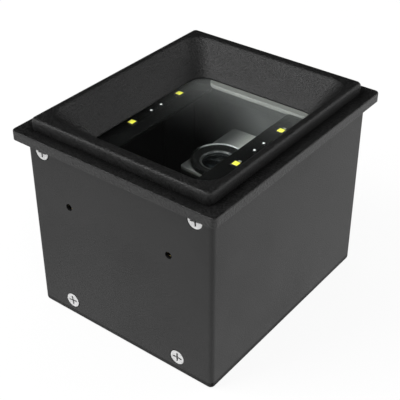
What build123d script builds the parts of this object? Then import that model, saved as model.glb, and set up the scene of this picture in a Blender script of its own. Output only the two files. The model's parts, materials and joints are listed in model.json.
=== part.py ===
# A fixed barcode reader with a reading window in its top, in millimetres.
# Z is up, X runs across the body and Y along it. The origin is the middle of the base.
# The end with the small threaded holes that the photograph shows faces -Y.

import os

from build123d import *

# Body
body_width = 62.5
body_length = 72.7
body_height = 56.4
wall = 2.2
floor = 2.4
body_corner_radius = 1.5
foot_radius = 1.3
guide_rib_depth = 1.2
guide_rib_width = 1.6
guide_rib_spread = 36.0
guide_rib_headroom = 12.0

# Clearances between pieces that slide, screw or plug together
fit = 0.2
thread_gap = 0.05
edge_gap = 0.4
same_level = 0.0001

# Bezel
flange_side = 2.6
flange_end = 3.0
flange_thickness = 2.8
flange_corner_radius = 1.5
flange_edge_radius = 0.4
lip_step_side = 3.85
lip_step_end = 3.6
lip_height = 3.4
lip_corner_radius = 1.6
lip_edge_radius = 1.2
rim_side = 2.2
rim_end = 3.3
rim_edge_radius = 1.2
recess_depth = 9.0
recess_run_left = 7.95
recess_run_right = 5.8
recess_run_end = 7.3
recess_top_radius = 6.0
recess_foot_radius = 4.6
seat_wall = 2.0
skirt_wall = 1.8
skirt_depth = 7.5
bezel_boss_width = 5.2
bezel_boss_drop = 3.0
board_boss_radius = 2.4

# Window
gasket_thickness = 0.4
gasket_setback = 0.15
glass_thickness = 1.2
glass_overlap_side = 3.15
glass_overlap_end = 2.6
glass_corner_radius = 3.0

# Bars that hold the window from below
clamp_thickness = 1.2
clamp_cover = 4.05
clamp_short_inset = 6.8
clamp_long_inset = 1.0
clamp_nose_radius = 3.0
clamp_corner_radius = 1.0
clamp_screw_setback = 2.2
clamp_short_screw_inset = 4.5
clamp_long_screw_inset = 6.0

# Light boards under the window
led_board_drop = 0.65
led_board_thickness = 1.0
led_board_width = 13.2
led_board_corner_radius = 1.0
led_board_screw_inset = 1.65
led_board_screw_setback = 3.3
led_inset = 8.5
led_spread = 21.5
led_centre = 2.9
led_shift = -0.65
led_width = 2.3
led_length = 2.8
led_height = 0.55
phosphor_width = 1.8
phosphor_length = 2.3
phosphor_depth = 0.35
object_sensor_spread = 4.45
object_sensor_radius = 0.6

# Camera
lens_y = 8.1
lens_mount_width = 17.6
lens_mount_front = 7.2
lens_mount_setback = 2.8
lens_mount_height = 11.7
lens_mount_wall = 1.2
lens_mount_radius = 1.0
lens_tube_wall = 1.0
lens_mount_boss_radius = 1.9
lens_mount_boss_inset = 3.4
lens_thread_radius = 6.0
lens_thread_clear = 3.4
lens_head_radius = 8.0
lens_head_gap = 0.7
lens_head_thickness = 1.45
lens_rim_width = 0.5
lens_face_drop = 0.55
lens_bore_radius = 4.3
lens_bore_step = 0.6
front_lens_radius = 4.8
front_lens_edge = 1.0
front_lens_rise = 0.9
lens_ring_width = 0.6
lens_ring_height = 1.6
lens_seat_depth = 1.5
rear_lens_edge = 1.2
rear_lens_rise = 0.7
rear_lens_seat = 1.0
sensor_size = 7.2
sensor_height = 1.0
sensor_cover_size = 6.0
sensor_cover_height = 0.4
camera_board_width = 28.0
camera_board_setback = 5.2
camera_board_thickness = 1.2
camera_board_hole_inset = 2.5
light_screen_thickness = 0.8
light_screen_side_gap = 5.0
light_screen_head_gap = 0.4
light_screen_foot_depth = 2.2
light_screen_radius = 1.5
standoff_height = 14.0
standoff_width = 4.5
standoff_sides = 6

# Main board and the tray that carries it
tray_thickness = 1.0
tray_end_setback = 3.0
tray_bend_radius = 1.4
lug_width = 9.0
lug_rise = 3.2
collar_radius = 2.3
collar_length = 2.0
post_height = 4.6
post_radius = 2.5
board_thickness = 1.6
board_side_gap = 1.6
board_end_gap = 3.15
board_corner_radius = 2.0
board_hole_inset_side = 3.8
board_hole_inset_end = 6.2
processor_size = 14.0
processor_height = 1.4
processor_edge = 0.8
memory_width = 8.0
memory_length = 10.0
memory_height = 1.0
memory_gap = 1.6
beeper_radius = 6.0
beeper_height = 8.0
beeper_inset = 9.05
beeper_y = 3.0
beeper_hole_radius = 1.0
capacitor_radius = 3.1
capacitor_height = 7.6
capacitor_pitch = 8.0
capacitor_gap = 9.0
inductor_size = 7.0
inductor_height = 3.5
inductor_inset = 8.05
inductor_setback = 5.8

# Flat cables and their connectors
cable_thickness = 0.3
cable_bend = 1.5
cable_lift = 0.5
connector_depth = 3.5
connector_height = 1.3
connector_margin = 1.0
cable_insertion = 2.0
led_cable_width = 5.0
led_cable_setback = 9.3
led_cable_inset = 1.2
led_connector_gap = 2.5
camera_cable_width = 8.0
camera_cable_bulge = 4.3
camera_connector_inset = 0.5

# Cable socket
socket_width = 15.8
socket_depth = 16.0
socket_height = 12.0
socket_radius = 0.5
plug_width = 11.9
plug_height = 6.9
plug_depth = 11.5
plug_low = 2.8
latch_width = 6.3
latch_height = 1.5
socket_mouth_margin = 0.4
contact_count = 10
contact_pitch = 1.02
contact_width = 0.4
contact_root = 1.5
contact_reach = 8.0
contact_drop = 1.9

# Screws and threaded holes
screw_radius = 1.25
screw_head_radius = 2.35
bezel_screw_length = 7.0
tray_screw_length = 6.0
screw_hole_gap = 0.1
cross_length = 3.0
cross_width = 0.4
cross_depth = 0.7
bezel_screw_inset = 5.6
bezel_screw_drop = 2.8
tray_screw_inset = 11.95
tray_screw_rise = 5.35
small_screw_radius = 1.0
small_screw_length = 3.6
small_head_radius = 1.65
small_head_height = 1.3
insert_spread = 34.6
insert_rise = 39.3
insert_radius = 1.8
insert_length = 4.2
insert_bore_radius = 1.05
insert_skin = 1.0
insert_boss_wall = 1.1

# Half sizes of the body's inside and of the bezel's steps
inside_x = body_width / 2 - wall
inside_y = body_length / 2 - wall
flange_x = body_width / 2 + flange_side
flange_y = body_length / 2 + flange_end
lip_x = flange_x - lip_step_side
lip_y = flange_y - lip_step_end
mouth_x = lip_x - rim_side
mouth_y = lip_y - rim_end
foot_left = mouth_x - recess_run_left
foot_right = mouth_x - recess_run_right
foot_y = mouth_y - recess_run_end
glass_x = foot_left + glass_overlap_side
glass_y = foot_y + glass_overlap_end
clamp_face = glass_y - clamp_cover
clamp_short_reach = glass_x - clamp_short_inset
clamp_long_reach = glass_x - clamp_long_inset
pocket_x = glass_x + fit
pocket_y = glass_y + fit
skirt_x = inside_x - fit
skirt_y = inside_y - fit
skirt_inside_x = skirt_x - skirt_wall
skirt_inside_y = skirt_y - skirt_wall

# Levels from the bezel down to the light boards
flange_top = body_height + flange_thickness
lip_top = flange_top + lip_height
recess_foot = lip_top - recess_depth
glass_top = recess_foot - gasket_thickness
glass_bottom = glass_top - glass_thickness
clamp_bottom = glass_bottom - clamp_thickness
led_board_top = glass_bottom - led_board_drop
led_board_bottom = led_board_top - led_board_thickness
bezel_screw_level = body_height - bezel_screw_drop
bezel_screw_spread = body_width - 2 * bezel_screw_inset
tray_screw_spread = body_width - 2 * tray_screw_inset

# Levels from the floor up to the lens
tray_top = floor + tray_thickness
board_bottom = tray_top + post_height
board_top = board_bottom + board_thickness
camera_board_bottom = board_top + standoff_height
camera_board_top = camera_board_bottom + camera_board_thickness
mount_top = camera_board_top + lens_mount_height
lens_head_bottom = mount_top + lens_head_gap
lens_head_top = lens_head_bottom + lens_head_thickness
lens_bottom = camera_board_top + lens_thread_clear

# Grey screen that stands on the camera board, in front of the rear threaded inserts
insert_boss_depth = insert_skin + insert_length
light_screen_x = inside_x - light_screen_side_gap
light_screen_foot_x = (camera_board_width / 2 - camera_board_hole_inset - small_head_radius
                       - light_screen_head_gap)
light_screen_back = body_length / 2 - insert_boss_depth - fit
light_screen_front = light_screen_back - light_screen_thickness
light_screen_low = camera_board_top + small_head_height + light_screen_head_gap
light_screen_high = clamp_bottom - small_head_height - light_screen_head_gap

# Half sizes and holes of the boards and the tray
tray_x = inside_x - guide_rib_depth - fit
tray_y = inside_y - fit
board_x = tray_x - board_side_gap
board_y = inside_y - board_end_gap
board_holes = [
    (x * (board_x - board_hole_inset_side), y * (board_y - board_hole_inset_end))
    for x in (-1, 1)
    for y in (-1, 1)
]
processor_ends = (processor_edge - board_y, processor_edge + processor_size - board_y)
camera_board_ends = (processor_ends[1] + camera_board_setback, board_y)
camera_board_holes = [
    (x * (camera_board_width / 2 - camera_board_hole_inset), y)
    for x in (-1, 1)
    for y in (
        camera_board_ends[0] + camera_board_hole_inset,
        camera_board_ends[1] - camera_board_hole_inset,
    )
]
mount_ends = (lens_y - lens_mount_front, camera_board_ends[1] - lens_mount_setback)
mount_holes = [
    (x * (lens_mount_width / 2 - lens_mount_boss_inset), mount_ends[1] - lens_mount_boss_inset)
    for x in (-1, 1)
]
led_board_outer_edge = skirt_inside_x - edge_gap
led_board_inner_edge = led_board_outer_edge - led_board_width
led_board_y = clamp_face - fit
led_board_holes = [
    (led_board_outer_edge - led_board_screw_inset, y * (led_board_y - led_board_screw_setback))
    for y in (-1, 1)
]
led_column = led_board_outer_edge - led_inset
led_cable_y = led_cable_setback - led_board_y
led_rows = [led_centre + y * led_spread / 2 for y in (-1, 1)]
object_sensor_rows = [led_centre + y * object_sensor_spread / 2 for y in (-1, 1)]
clamp_screw_row = skirt_inside_y - clamp_screw_setback
clamp_holes = [
    (clamp_short_screw_inset - clamp_short_reach, clamp_screw_row),
    (clamp_long_reach - clamp_long_screw_inset, clamp_screw_row),
]
inductor_x = board_x - inductor_inset
inductor_y = board_y - board_hole_inset_end - inductor_setback
small_hole_radius = small_screw_radius + screw_hole_gap

MIN, MID, MAX = Align.MIN, Align.CENTER, Align.MAX


# A block between two corners, with its upright edges rounded.
def block(x, y, z, radius=0):
    width, length = x[1] - x[0], y[1] - y[0]
    outline = RectangleRounded(width, length, radius) if radius else Rectangle(width, length)
    return Pos((x[0] + x[1]) / 2, (y[0] + y[1]) / 2, z[0]) * extrude(outline, z[1] - z[0])


def middle_block(half_x, half_y, z, radius=0):
    return block((-half_x, half_x), (-half_y, half_y), z, radius)


# An upright cylinder between two levels.
def pin(x, y, z, radius):
    return Pos(x, y, z[0]) * Cylinder(radius, z[1] - z[0], align=(MID, MID, MIN))


# A cylinder that goes down from zero, to drill or fill a place on a face.
def drill(radius, depth):
    return Cylinder(radius, depth, align=(MID, MID, MAX))


def pins(places, z, radius):
    return [pin(x, y, z, radius) for x, y in places]


# A turned piece from its half section, given as radius and height.
def turned(section, x=0, y=0, z=0):
    outline = make_face(Polyline(*section, close=True))
    return Pos(x, y, z) * revolve(Plane.XZ * outline, Axis.Z)


# A place on the body's front (-1) or rear (1) face, with its own Z pointing out of the body.
def on_end(end, x, z):
    return Pos(x, end * body_length / 2, z) * Rot(-90 * end, 0, 0)


# The four places of a pair of screws on each end face.
def end_places(spread, level):
    return [on_end(end, x * spread / 2, level) for end in (-1, 1) for x in (-1, 1)]


def bezel_screw_places():
    return end_places(bezel_screw_spread, bezel_screw_level)


def tray_screw_places():
    return end_places(tray_screw_spread, tray_screw_rise)


def turned_about_z(shape):
    return Rot(0, 0, 180) * shape


def left_of(shape):
    return mirror(shape, Plane.YZ)


def edges_at(shape, level):
    return [e for e in shape.edges() if abs(e.bounding_box().min.Z - level) < same_level
            and abs(e.bounding_box().max.Z - level) < same_level]


# Screws, with the top of the head at zero and the shank pointing down.
def countersunk_screw(length):
    cone = screw_head_radius - screw_radius
    section = [(0, 0), (screw_head_radius, 0), (screw_radius, -cone),
               (screw_radius, -length), (0, -length)]
    cross = [Box(*arms, cross_depth, align=(MID, MID, MAX))
             for arms in ((cross_length, cross_width), (cross_width, cross_length))]
    return turned(section) - cross


def end_screws(length, places):
    return [place * countersunk_screw(length) for place in places]


def countersunk_hole():
    hole = screw_radius + screw_hole_gap
    cone = screw_head_radius - screw_radius
    return drill(hole, wall) + Cone(hole, hole + cone, cone, align=(MID, MID, MAX))


def small_screw(length):
    head = Cylinder(small_head_radius, small_head_height, align=(MID, MID, MIN))
    slots = [Box(*arms, cross_depth, align=(MID, MID, MAX))
             for arms in ((2 * small_screw_radius, cross_width), (cross_width, 2 * small_screw_radius))]
    return head + drill(small_screw_radius, length) - Pos(0, 0, small_head_height) * Compound(children=slots)


# Housing
def housing():
    body = middle_block(body_width / 2, body_length / 2, (0, body_height), body_corner_radius)
    body = fillet(edges_at(body, 0), foot_radius)
    body -= middle_block(inside_x, inside_y, (floor, body_height), body_corner_radius / 2)
    rib_top = body_height - guide_rib_headroom
    for x in (-1, 1):
        for y in (-1, 1):
            rib = block((inside_x - guide_rib_depth, inside_x), (-guide_rib_width / 2, guide_rib_width / 2),
                        (floor, rib_top))
            rib = Pos(0, y * guide_rib_spread / 2, 0) * rib
            body += rib if x > 0 else left_of(rib)
    boss_radius = insert_radius + insert_boss_wall
    for place in end_places(insert_spread, insert_rise):
        body += place * drill(boss_radius, insert_boss_depth)
        body -= place * drill(insert_bore_radius, insert_boss_depth)
        body -= place * Pos(0, 0, -insert_skin) * drill(insert_radius, insert_length)
    for place in bezel_screw_places() + tray_screw_places():
        body -= place * countersunk_hole()
    return body - socket_mouth()


# The hole in the rear wall that the cable's plug passes through.
def socket_mouth():
    low = board_top + plug_low
    half = plug_width / 2 + socket_mouth_margin
    through = (inside_y - wall, body_length / 2 + wall)
    high = low + plug_height + socket_mouth_margin
    mouth = block((-half, half), through, (low - socket_mouth_margin, high))
    latch = latch_width / 2 + socket_mouth_margin
    return mouth + block((-latch, latch), through, (low - latch_height - socket_mouth_margin, low))


def thread_inserts():
    insert = drill(insert_radius, insert_length) - drill(insert_bore_radius, insert_length)
    return [place * Pos(0, 0, -insert_skin) * insert for place in end_places(insert_spread, insert_rise)]


# Bezel
def recess():
    mouth = Pos(0, 0, lip_top) * RectangleRounded(2 * mouth_x, 2 * mouth_y, recess_top_radius)
    foot = RectangleRounded(foot_left + foot_right, 2 * foot_y, recess_foot_radius)
    foot = Pos((foot_right - foot_left) / 2, 0, recess_foot) * foot
    return loft([foot, mouth], ruled=True)


def bezel():
    flange = middle_block(flange_x, flange_y, (body_height, flange_top), flange_corner_radius)
    flange = fillet(edges_at(flange, flange_top), flange_edge_radius)
    lip = middle_block(lip_x, lip_y, (body_height, lip_top), lip_corner_radius)
    lip = fillet(edges_at(lip, lip_top), lip_edge_radius)
    below = (body_height - skirt_depth, body_height)
    skirt = middle_block(skirt_x, skirt_y, below, body_corner_radius / 2)
    skirt -= middle_block(skirt_inside_x, skirt_inside_y, below)
    seat = middle_block(pocket_x + seat_wall, pocket_y + seat_wall, (led_board_top, body_height),
                        glass_corner_radius)
    shape = flange + lip + skirt + seat
    shape += board_bosses()
    for place in bezel_screw_places():
        shape += place * bezel_boss()
    shape -= middle_block(pocket_x, pocket_y, (led_board_top, recess_foot), glass_corner_radius)
    shape -= recess()
    mouth_edges = [e for e in edges_at(shape, lip_top) if abs(e.center().X) < mouth_x + thread_gap
                   and abs(e.center().Y) < mouth_y + thread_gap]
    shape = fillet(mouth_edges, rim_edge_radius)
    for end in (-1, 1):
        slot = block((-clamp_long_reach - fit, clamp_long_reach + fit), (pocket_y / 2, skirt_inside_y),
                     (clamp_bottom, glass_bottom))
        shape -= slot if end > 0 else turned_about_z(slot)
    tapped = small_screw_radius + thread_gap
    for x, y in led_board_holes:
        depth = (led_board_top, led_board_top + small_screw_length)
        shape -= [pin(x, y, depth, tapped), pin(-x, y, depth, tapped)]
    for x, y in clamp_holes:
        depth = (glass_bottom, glass_bottom + small_screw_length)
        shape -= [pin(x, y, depth, tapped), pin(-x, -y, depth, tapped)]
    for place in bezel_screw_places():
        shape -= place * drill(screw_radius + thread_gap, bezel_screw_length + fit)
    return shape


# Bosses on the bezel's underside for the screws of the light boards and the clamp bars.
def board_bosses():
    bosses = []
    for x, y in led_board_holes:
        z = (led_board_top, body_height)
        bosses += [pin(side * x, y, z, board_boss_radius) for side in (-1, 1)]
    for x, y in clamp_holes:
        z = (glass_bottom, body_height)
        bosses += [pin(side * x, side * y, z, board_boss_radius) for side in (-1, 1)]
    return bosses


def bezel_boss():
    reach = skirt_y - pocket_y - fit
    height = bezel_screw_drop + bezel_boss_drop
    return Pos(0, 0, -wall - fit) * Box(bezel_boss_width, height, reach, align=(MID, MID, MAX))


# Window
def window_gasket():
    z = (glass_top, recess_foot)
    ring = middle_block(pocket_x - fit / 2, pocket_y - fit / 2, z, glass_corner_radius)
    inside = foot_y + gasket_setback
    return ring - block((-foot_left - gasket_setback, foot_right + gasket_setback), (-inside, inside), z,
                        recess_foot_radius)


def window_glass():
    return middle_block(glass_x, glass_y, (glass_bottom, glass_top), glass_corner_radius)


def rear_clamp():
    outer = skirt_inside_y - edge_gap
    bar = block((-clamp_short_reach, clamp_long_reach), (clamp_face, outer), (clamp_bottom, glass_bottom),
                clamp_corner_radius)
    corner = block((-clamp_short_reach, -clamp_short_reach + clamp_nose_radius),
                   (clamp_face, clamp_face + clamp_nose_radius), (clamp_bottom, glass_bottom))
    round_nose = pin(-clamp_short_reach + clamp_nose_radius, clamp_face + clamp_nose_radius,
                     (clamp_bottom, glass_bottom), clamp_nose_radius)
    bar -= corner - round_nose
    return bar - pins(clamp_holes, (clamp_bottom, glass_bottom), small_hole_radius)


def clamp_screws():
    screw = Rot(180, 0, 0) * small_screw(small_screw_length)
    rear = [Pos(x, y, clamp_bottom) * screw for x, y in clamp_holes]
    return rear + [turned_about_z(s) for s in rear]


# Light boards
def right_led_board():
    board = block((led_board_inner_edge, led_board_outer_edge), (-led_board_y, led_board_y),
                  (led_board_bottom, led_board_top), led_board_corner_radius)
    return board - pins(led_board_holes, (led_board_bottom, led_board_top), small_hole_radius)


def led_board_screws():
    screw = Rot(180, 0, 0) * small_screw(small_screw_length)
    return [Pos(side * x, y, led_board_bottom) * screw for x, y in led_board_holes for side in (-1, 1)]


def led_places():
    return [Pos(side * led_column + led_shift, y, led_board_top) for y in led_rows for side in (-1, 1)]


def led_phosphor():
    outline = RectangleRounded(phosphor_width, phosphor_length, phosphor_width / 4)
    return Pos(0, 0, led_height - phosphor_depth) * extrude(outline, phosphor_depth)


def led_body():
    return Box(led_width, led_length, led_height, align=(MID, MID, MIN)) - led_phosphor()


def object_sensors():
    dome = Sphere(object_sensor_radius, arc_size1=0, align=(MID, MID, MIN))
    return [Pos(side * led_column + led_shift, y, led_board_top) * dome
            for y in object_sensor_rows for side in (-1, 1)]


# Flat cables. Each is bent to a C whose open side points to -X, and lies in a slot at both ends.
def flat_cable(out, low, high, width):
    height = high - low
    strip = (RectangleRounded(2 * out, height, cable_bend)
             - RectangleRounded(2 * (out - cable_thickness), height - 2 * cable_thickness,
                                cable_bend - cable_thickness))
    strip = extrude(Plane.XZ * strip, width / 2, both=True)
    return Pos(0, 0, (low + high) / 2) * strip


def connector(x, z, width, slot_low):
    half = width / 2 + connector_margin
    slot = block((x[1] - cable_insertion, x[1]), (-width / 2 - fit, width / 2 + fit),
                 (slot_low - thread_gap, slot_low + cable_thickness + thread_gap))
    return block(x, (-half, half), z) - slot


led_cable_out = board_x - led_cable_inset
led_connector_x = (led_cable_out - led_connector_gap - connector_depth, led_cable_out - led_connector_gap)


def right_led_cable():
    low, high = board_top + cable_lift, led_board_bottom - cable_lift
    cable = flat_cable(led_cable_out, low, high, led_cable_width)
    keep = led_connector_x[1] - cable_insertion + fit
    cable &= block((keep, led_cable_out), (-led_cable_width, led_cable_width), (low, high))
    return Pos(0, led_cable_y, 0) * cable


def right_led_connectors():
    low = connector(led_connector_x, (board_top, board_top + connector_height), led_cable_width,
                    board_top + cable_lift)
    high = connector(led_connector_x, (led_board_bottom - connector_height, led_board_bottom),
                     led_cable_width, led_board_bottom - cable_lift - cable_thickness)
    return [Pos(0, led_cable_y, 0) * low, Pos(0, led_cable_y, 0) * high]


camera_connector_y = (camera_board_ends[0] + camera_connector_inset,
                      camera_board_ends[0] + camera_connector_inset + connector_depth)


# The camera's cable and connectors are made along X and then turned to point to -Y.
def to_camera_front(shape):
    return Rot(0, 0, -90) * shape


def camera_cable():
    low, high = board_top + cable_lift, camera_board_top + cable_lift + cable_thickness
    out = -camera_board_ends[0] + camera_cable_bulge
    cable = flat_cable(out, low, high, camera_cable_width)
    keep = -camera_connector_y[0] - cable_insertion + fit
    cable &= block((keep, out), (-camera_cable_width, camera_cable_width), (low, high))
    return to_camera_front(cable)


def camera_connectors():
    x = (-camera_connector_y[1], -camera_connector_y[0])
    return [to_camera_front(connector(x, (level, level + connector_height), camera_cable_width,
                                      level + cable_lift))
            for level in (board_top, camera_board_top)]


# Camera
def lens_mount():
    half = lens_mount_width / 2
    z = (camera_board_top, mount_top)
    shape = block((-half, half), mount_ends, z, lens_mount_radius)
    shape -= block((-half + lens_mount_wall, half - lens_mount_wall),
                   (mount_ends[0] + lens_mount_wall, mount_ends[1] - lens_mount_wall),
                   (camera_board_top, mount_top - lens_mount_wall))
    bore = lens_thread_radius + thread_gap
    shape += pin(0, lens_y, z, bore + lens_tube_wall)
    shape += pins(mount_holes, (camera_board_top, mount_top - lens_mount_wall), lens_mount_boss_radius)
    shape -= pin(0, lens_y, z, bore)
    tapped = (camera_board_top, camera_board_top + small_screw_length)
    return shape - pins(mount_holes, tapped, small_screw_radius + thread_gap)


def lens_barrel():
    thread, head = lens_thread_radius, lens_head_radius
    face = lens_head_top - lens_face_drop
    seat = lens_head_top - lens_face_drop - lens_seat_depth
    ring = front_lens_radius + thread_gap + lens_ring_width + thread_gap
    step = lens_bottom + rear_lens_seat
    stop = lens_bore_radius - lens_bore_step
    section = [(stop, lens_bottom), (thread, lens_bottom), (thread, lens_head_bottom),
               (head, lens_head_bottom), (head, lens_head_top), (head - lens_rim_width, lens_head_top),
               (ring + lens_rim_width, face), (ring, face), (ring, seat), (lens_bore_radius, seat),
               (lens_bore_radius, step), (stop, step)]
    return turned(section, 0, lens_y)


# A round lens with a flat edge and one domed face.
def domed_lens(radius, edge, rise):
    dome_radius = (radius**2 + rise**2) / (2 * rise)
    dome = Pos(0, 0, edge + rise - dome_radius) * Sphere(dome_radius)
    return Cylinder(radius, edge + rise, align=(MID, MID, MIN)) & dome


def lens_seat():
    return lens_head_top - lens_face_drop - lens_seat_depth


def front_lens():
    return Pos(0, lens_y, lens_seat()) * domed_lens(front_lens_radius, front_lens_edge, front_lens_rise)


def rear_lens():
    radius = lens_bore_radius - thread_gap
    return Pos(0, lens_y, lens_bottom + rear_lens_seat) * domed_lens(radius, rear_lens_edge, rear_lens_rise)


def lens_ring():
    inner = front_lens_radius + thread_gap
    z = (lens_seat(), lens_seat() + lens_ring_height)
    return pin(0, lens_y, z, inner + lens_ring_width) - pin(0, lens_y, z, inner)


def image_sensor():
    half = sensor_size / 2
    return block((-half, half), (lens_y - half, lens_y + half),
                 (camera_board_top, camera_board_top + sensor_height))


def sensor_cover():
    half = sensor_cover_size / 2
    low = camera_board_top + sensor_height
    return block((-half, half), (lens_y - half, lens_y + half), (low, low + sensor_cover_height))


def camera_board():
    half = camera_board_width / 2
    z = (camera_board_bottom, camera_board_top)
    board = block((-half, half), camera_board_ends, z, led_board_corner_radius)
    return board - pins(camera_board_holes + mount_holes, z, small_hole_radius)


# The plate clears the screw heads below and above it, and only its foot stands on the board.
def light_screen():
    y = (light_screen_front, light_screen_back)
    plate = block((-light_screen_x, light_screen_x), y, (light_screen_low, light_screen_high))
    plate = fillet(plate.edges().filter_by(Axis.Y), light_screen_radius)
    web = block((-light_screen_foot_x, light_screen_foot_x), y, (camera_board_top, light_screen_high))
    foot = block((-light_screen_foot_x, light_screen_foot_x),
                 (light_screen_back - light_screen_foot_depth, light_screen_back),
                 (camera_board_top, camera_board_top + light_screen_thickness))
    return plate + web + foot


def camera_standoffs():
    outline = RegularPolygon(standoff_width / 2, standoff_sides, major_radius=False)
    post = Pos(0, 0, board_top) * extrude(outline, standoff_height)
    post -= pin(0, 0, (camera_board_bottom - small_screw_length, camera_board_bottom),
                small_screw_radius + thread_gap)
    post -= pin(0, 0, (board_top, board_top + small_screw_length), small_screw_radius + thread_gap)
    return [Pos(x, y, 0) * post for x, y in camera_board_holes]


def camera_screws():
    above = small_screw(small_screw_length)
    below = Rot(180, 0, 0) * above
    return ([Pos(x, y, camera_board_top) * above for x, y in camera_board_holes]
            + [Pos(x, y, camera_board_bottom) * below for x, y in mount_holes]
            + [Pos(x, y, board_bottom) * below for x, y in camera_board_holes])


# Tray
def tray():
    plate = middle_block(tray_x, tray_y - tray_end_setback, (floor, tray_top), board_corner_radius)
    lug_top = tray_screw_rise + lug_rise
    for place in (-1, 1):
        for end in (-1, 1):
            reach = (tray_y - 2 * tray_end_setback, tray_y)
            lug = block((-lug_width / 2, lug_width / 2), reach, (floor, lug_top))
            lug -= block((-lug_width, lug_width), (0, tray_y - tray_thickness), (tray_top, lug_top))
            bends = [e for e in lug.edges().filter_by(Axis.X)
                     if abs(e.center().Y - tray_y) < thread_gap and abs(e.center().Z - floor) < thread_gap]
            lug = fillet(bends, tray_bend_radius)
            at_screw = Pos(0, tray_y, tray_screw_rise) * Rot(-90, 0, 0)
            lug += at_screw * drill(collar_radius, tray_thickness + collar_length)
            lug -= at_screw * drill(screw_radius + thread_gap, tray_thickness + collar_length)
            lug = Pos(place * tray_screw_spread / 2, 0, 0) * lug
            plate += lug if end > 0 else mirror(lug, Plane.XZ)
    return plate


def board_posts():
    post = pin(0, 0, (tray_top, board_bottom), post_radius)
    post -= pin(0, 0, (tray_top, board_bottom), small_screw_radius + thread_gap)
    return [Pos(x, y, 0) * post for x, y in board_holes]


def board_screws():
    return [Pos(x, y, board_top) * small_screw(small_screw_length) for x, y in board_holes]


# Main board and what it carries
def main_board():
    z = (board_bottom, board_top)
    board = middle_block(board_x, board_y, z, board_corner_radius)
    return board - pins(board_holes + camera_board_holes, z, small_hole_radius)


def processor():
    half = processor_size / 2
    return block((-half, half), processor_ends, (board_top, board_top + processor_height))


def memory_chips():
    x = processor_size / 2 + memory_gap + memory_width / 2
    y = (processor_ends[0] + processor_ends[1]) / 2
    chip = middle_block(memory_width / 2, memory_length / 2, (board_top, board_top + memory_height))
    return [Pos(side * x, y, 0) * chip for side in (-1, 1)]


def beeper():
    x, top = beeper_inset - board_x, board_top + beeper_height
    return (pin(x, beeper_y, (board_top, top), beeper_radius)
            - pin(x, beeper_y, (top - beeper_hole_radius, top), beeper_hole_radius))


def capacitors():
    first = inductor_y - capacitor_gap
    return [pin(inductor_x, y, (board_top, board_top + capacitor_height), capacitor_radius)
            for y in (first - capacitor_pitch, first)]


def inductor():
    half = inductor_size / 2
    return Pos(inductor_x, inductor_y, 0) * middle_block(
        half, half, (board_top, board_top + inductor_height), led_board_corner_radius)


# Cable socket
socket_face = inside_y - fit


def socket():
    half = socket_width / 2
    shape = block((-half, half), (socket_face - socket_depth, socket_face),
                  (board_top, board_top + socket_height), socket_radius)
    low = board_top + plug_low
    shape -= block((-plug_width / 2, plug_width / 2), (socket_face - plug_depth, socket_face),
                   (low, low + plug_height))
    return shape - block((-latch_width / 2, latch_width / 2), (socket_face - plug_depth, socket_face),
                         (low - latch_height, low))


# Spring contacts, fixed flat to the roof of the plug's space and slanting down towards its back.
def socket_contacts():
    roof = board_top + plug_low + plug_height
    front = socket_face - wall
    back = front - contact_reach
    thick = contact_width
    side = [(front, roof), (front, roof - thick), (back, roof - contact_drop - thick),
            (back, roof - contact_drop), (front - contact_root, roof)]
    outline = make_face(Polyline(*side, close=True))
    contact = extrude(Plane.YZ * outline, contact_width / 2, both=True)
    middle = (contact_count - 1) / 2
    return [Pos((i - middle) * contact_pitch, 0, 0) * contact for i in range(contact_count)]


# All the pieces by name. A list holds like pieces that share one node.
def both_sides(shapes):
    return [piece for shape in shapes for piece in (shape, left_of(shape))]


pieces = {
    "housing": housing(),
    "thread_inserts": thread_inserts(),
    "bezel": bezel(),
    "window_gasket": window_gasket(),
    "window_glass": window_glass(),
    "rear_glass_clamp": rear_clamp(),
    "front_glass_clamp": turned_about_z(rear_clamp()),
    "clamp_screws": clamp_screws(),
    "led_board_right": right_led_board(),
    "led_board_left": left_of(right_led_board()),
    "led_board_screws": led_board_screws(),
    "led_bodies": [place * led_body() for place in led_places()],
    "led_phosphors": [place * led_phosphor() for place in led_places()],
    "object_sensors": object_sensors(),
    "led_cable_right": right_led_cable(),
    "led_cable_left": left_of(right_led_cable()),
    "led_connectors": both_sides(right_led_connectors()),
    "lens_mount": lens_mount(),
    "lens_barrel": lens_barrel(),
    "lens_ring": lens_ring(),
    "front_lens": front_lens(),
    "rear_lens": rear_lens(),
    "image_sensor": image_sensor(),
    "sensor_cover": sensor_cover(),
    "camera_board": camera_board(),
    "light_screen": light_screen(),
    "camera_standoffs": camera_standoffs(),
    "camera_screws": camera_screws(),
    "camera_cable": camera_cable(),
    "camera_connectors": camera_connectors(),
    "tray": tray(),
    "board_posts": board_posts(),
    "board_screws": board_screws(),
    "main_board": main_board(),
    "processor": processor(),
    "memory_chips": memory_chips(),
    "beeper": beeper(),
    "capacitors": capacitors(),
    "inductor": inductor(),
    "cable_socket": socket(),
    "socket_contacts": socket_contacts(),
    "bezel_screws": end_screws(bezel_screw_length, bezel_screw_places()),
    "tray_screws": end_screws(tray_screw_length, tray_screw_places()),
}

os.makedirs("parts", exist_ok=True)
for name, piece in pieces.items():
    shape = Compound(children=piece) if isinstance(piece, list) else piece
    export_step(shape, f"parts/{name}.step")
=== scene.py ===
import json
import math

import bpy
from mathutils import Matrix, Vector


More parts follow.
